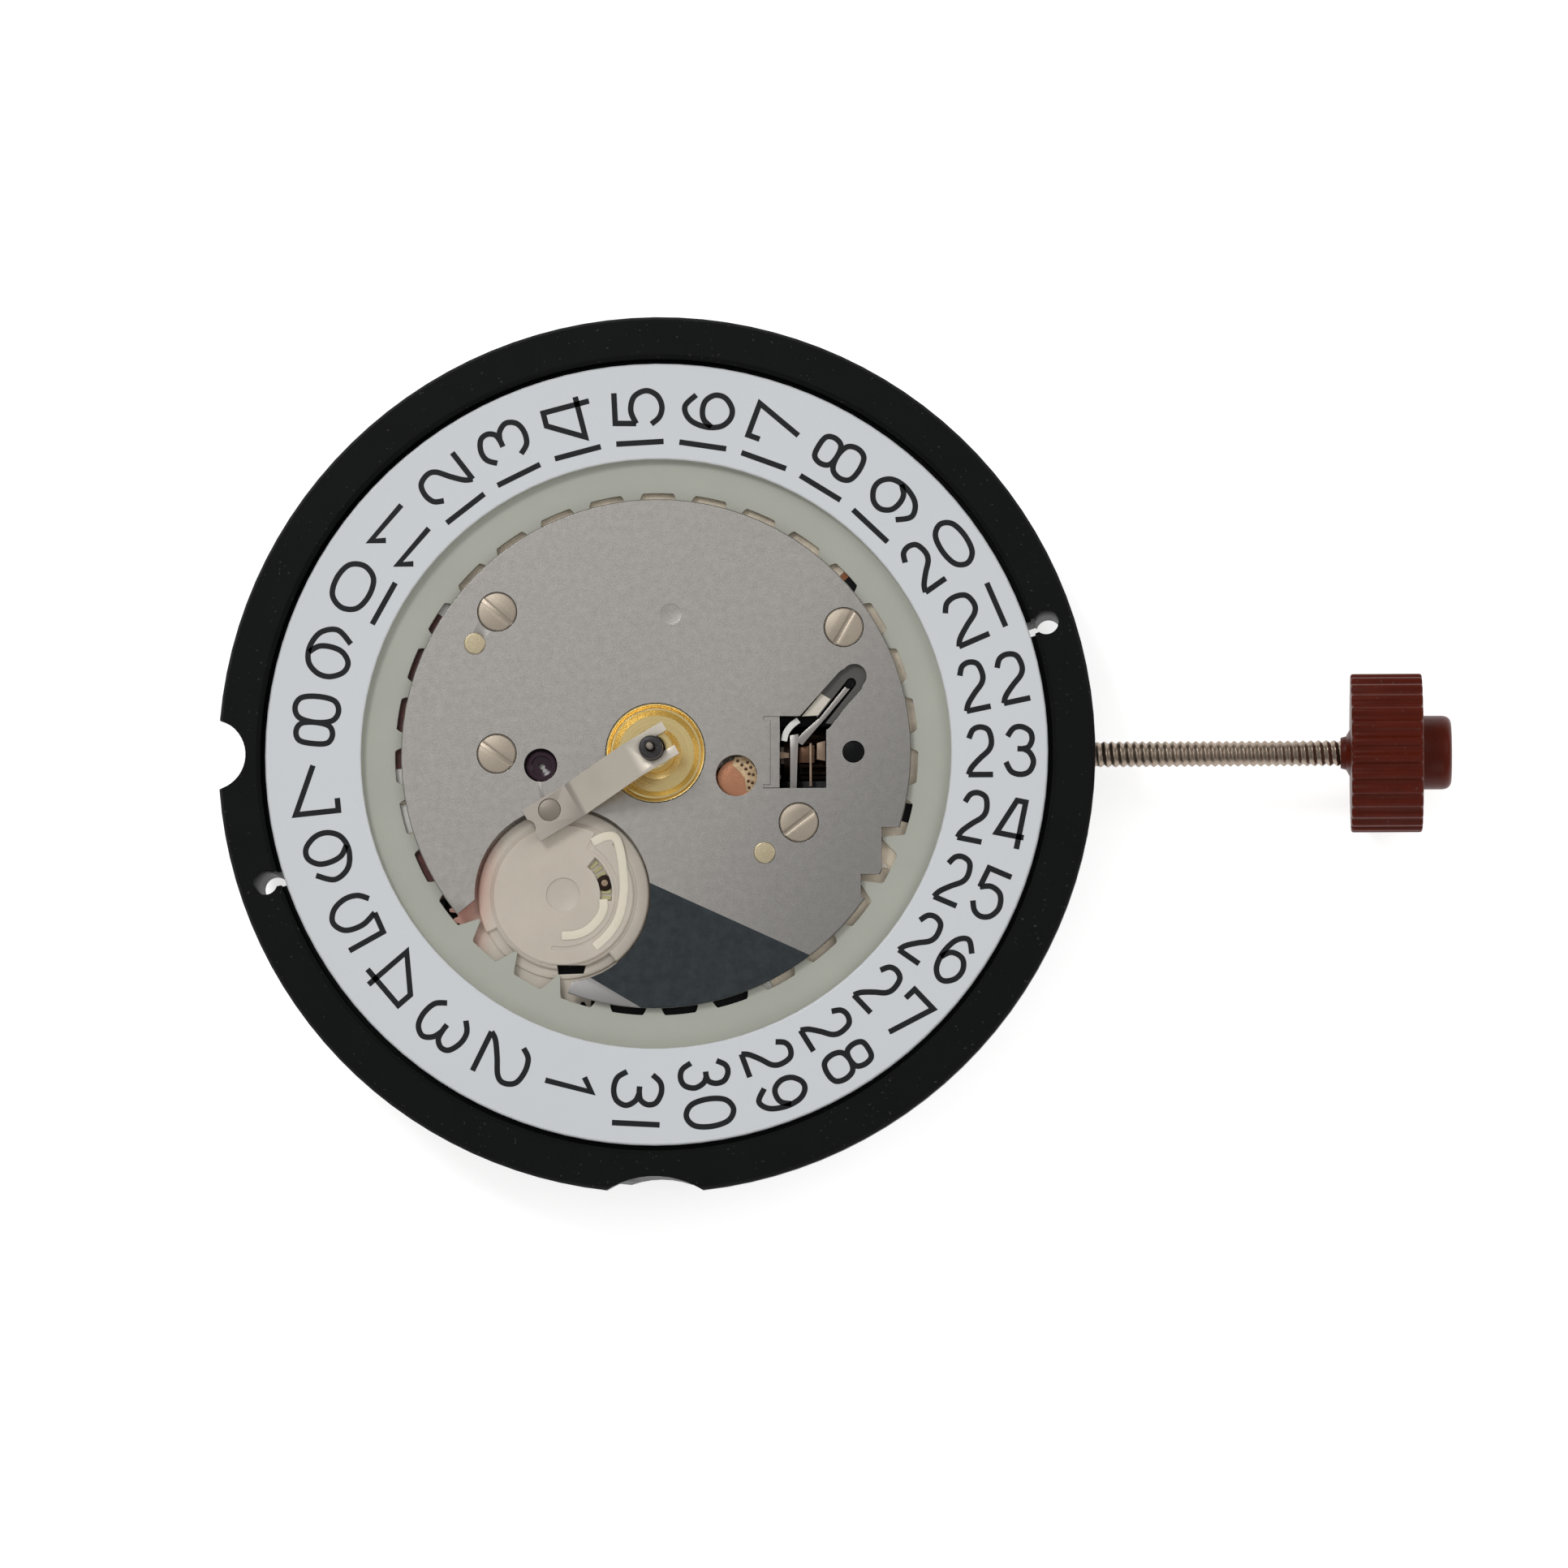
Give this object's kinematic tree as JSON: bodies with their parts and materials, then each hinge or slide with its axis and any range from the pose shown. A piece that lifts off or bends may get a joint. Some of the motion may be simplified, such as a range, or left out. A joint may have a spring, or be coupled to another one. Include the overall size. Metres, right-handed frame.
{
  "type": "quartz watch movement",
  "caption": "Round quartz watch movement with centre hand posts, a date ring under the dial side, a threaded stem and a ribbed setting crown.",
  "frame": {"origin": "on the axis of the hands, at the back face of the movement", "axes": "+X along the stem to the crown, +Z towards the dial and the hands"},
  "size_m": [0.0368, 0.0261, 0.0061],
  "materials": {
    "black_plastic": "satin moulded",
    "date_white": "satin, printed with date numbers",
    "plate_steel": "satin",
    "spring_steel": "satin",
    "screw_steel": "polished",
    "polished_steel": "polished",
    "brass": "satin",
    "gilt_brass": "polished",
    "cream_plastic": "satin moulded",
    "wheel_plastic": "satin moulded",
    "jewel": "polished synthetic ruby",
    "soft_iron": "satin",
    "magnet": "satin",
    "copper_wire": "enamelled wire",
    "battery_steel": "polished",
    "gasket": "matte",
    "board": "satin",
    "chip_black": "gloss",
    "crown_brown": "satin moulded"
  },
  "bodies": {
    "movement": {"main_plate": "black_plastic", "retaining_plate": "plate_steel", "plate_screws": "screw_steel", "bridge_screws": "screw_steel", "motor_screws": "screw_steel", "strap_screw": "screw_steel", "cover_screws": "screw_steel", "locating_pins": "polished_steel", "hour_wheel_keeper": "spring_steel", "keeper_rivet": "polished_steel", "dial_jewel": "jewel", "bridge_jewels": "jewel", "stator": "soft_iron", "coil_core": "soft_iron", "coil_winding": "copper_wire", "battery_can": "battery_steel", "battery_gasket": "gasket", "battery_cap": "battery_steel", "battery_contact": "gilt_brass", "battery_strap": "spring_steel", "circuit_board": "board", "chip": "chip_black", "crystal": "battery_steel", "train_bridge": "plate_steel", "yoke": "spring_steel", "keyless_cover": "plate_steel", "date_jumper": "spring_steel"},
    "rotor": {"rotor_pinion": "polished_steel", "rotor_magnet": "magnet"},
    "intermediate": {"intermediate_pinion": "polished_steel", "intermediate_wheel": "brass"},
    "seconds": {"seconds_arbor": "polished_steel", "seconds_wheel": "brass"},
    "third": {"third_pinion": "polished_steel", "third_wheel": "brass"},
    "minutes": {"cannon_pinion": "polished_steel", "centre_wheel": "brass"},
    "motion": {"minute_wheel": "wheel_plastic"},
    "hours": {"hour_wheel": "gilt_brass"},
    "date_driver": {"date_driving_wheel": "cream_plastic"},
    "date": {"date_ring": "date_white"},
    "pinion": {"sliding_pinion": "polished_steel"},
    "winding_stem": {"stem": "polished_steel", "crown": "crown_brown"},
    "lever": {"setting_lever": "spring_steel"}
  },
  "joints": [
    {"name": "rotor_turn", "type": "hinge", "parent": "movement", "child": "rotor", "pos_m": [-0.00497, -0.00142, 0.0015], "axis": [0, 0, 1], "continuous": true},
    {"name": "intermediate_turn", "type": "hinge", "parent": "movement", "child": "intermediate", "pos_m": [-0.00343, -0.00035, 0.0015], "axis": [0, 0, 1], "continuous": true},
    {"name": "seconds_turn", "type": "hinge", "parent": "movement", "child": "seconds", "pos_m": [0, 0, 0.0015], "axis": [0, 0, 1], "continuous": true},
    {"name": "third_turn", "type": "hinge", "parent": "movement", "child": "third", "pos_m": [0.0014, 0.00243, 0.0015], "axis": [0, 0, 1], "continuous": true},
    {"name": "minute_turn", "type": "hinge", "parent": "movement", "child": "minutes", "pos_m": [0, 0, 0.0015], "axis": [0, 0, 1], "continuous": true},
    {"name": "motion_turn", "type": "hinge", "parent": "movement", "child": "motion", "pos_m": [0.00202, -0.00058, 0.0015], "axis": [0, 0, 1], "continuous": true},
    {"name": "hour_turn", "type": "hinge", "parent": "movement", "child": "hours", "pos_m": [0, 0, 0.0015], "axis": [0, 0, 1], "continuous": true},
    {"name": "date_driver_turn", "type": "hinge", "parent": "movement", "child": "date_driver", "pos_m": [-0.00277, -0.00421, 0.0015], "axis": [0, 0, 1], "continuous": true},
    {"name": "date_turn", "type": "hinge", "parent": "movement", "child": "date", "pos_m": [0, 0, 0.0015], "axis": [0, 0, 1], "continuous": true, "deforming": ["date_jumper"]},
    {"name": "crown_turn", "type": "hinge", "parent": "movement", "child": "pinion", "pos_m": [0.0045, 0, 0.0015], "axis": [1, 0, 0], "continuous": true},
    {"name": "stem_pull", "type": "slide", "parent": "pinion", "child": "winding_stem", "axis": [1, 0, 0], "range_m": [0, 0.0009]},
    {"name": "lever_swing", "type": "hinge", "parent": "movement", "child": "lever", "pos_m": [0.0074, 0.0034, 0.00053], "axis": [0, 0, 1], "range_deg": [0, 15.2]}
  ],
  "couplings": [
    {"joint": "rotor_turn", "follows": "minute_turn", "ratio": 1800},
    {"joint": "intermediate_turn", "follows": "minute_turn", "ratio": -150},
    {"joint": "seconds_turn", "follows": "minute_turn", "ratio": 60},
    {"joint": "third_turn", "follows": "minute_turn", "ratio": -8},
    {"joint": "motion_turn", "follows": "minute_turn", "ratio": -0.33333},
    {"joint": "hour_turn", "follows": "minute_turn", "ratio": 0.083333},
    {"joint": "date_driver_turn", "follows": "minute_turn", "ratio": -0.041667},
    {"joint": "lever_swing", "follows": "stem_pull", "rad_per_m": 293.16}
  ]
}
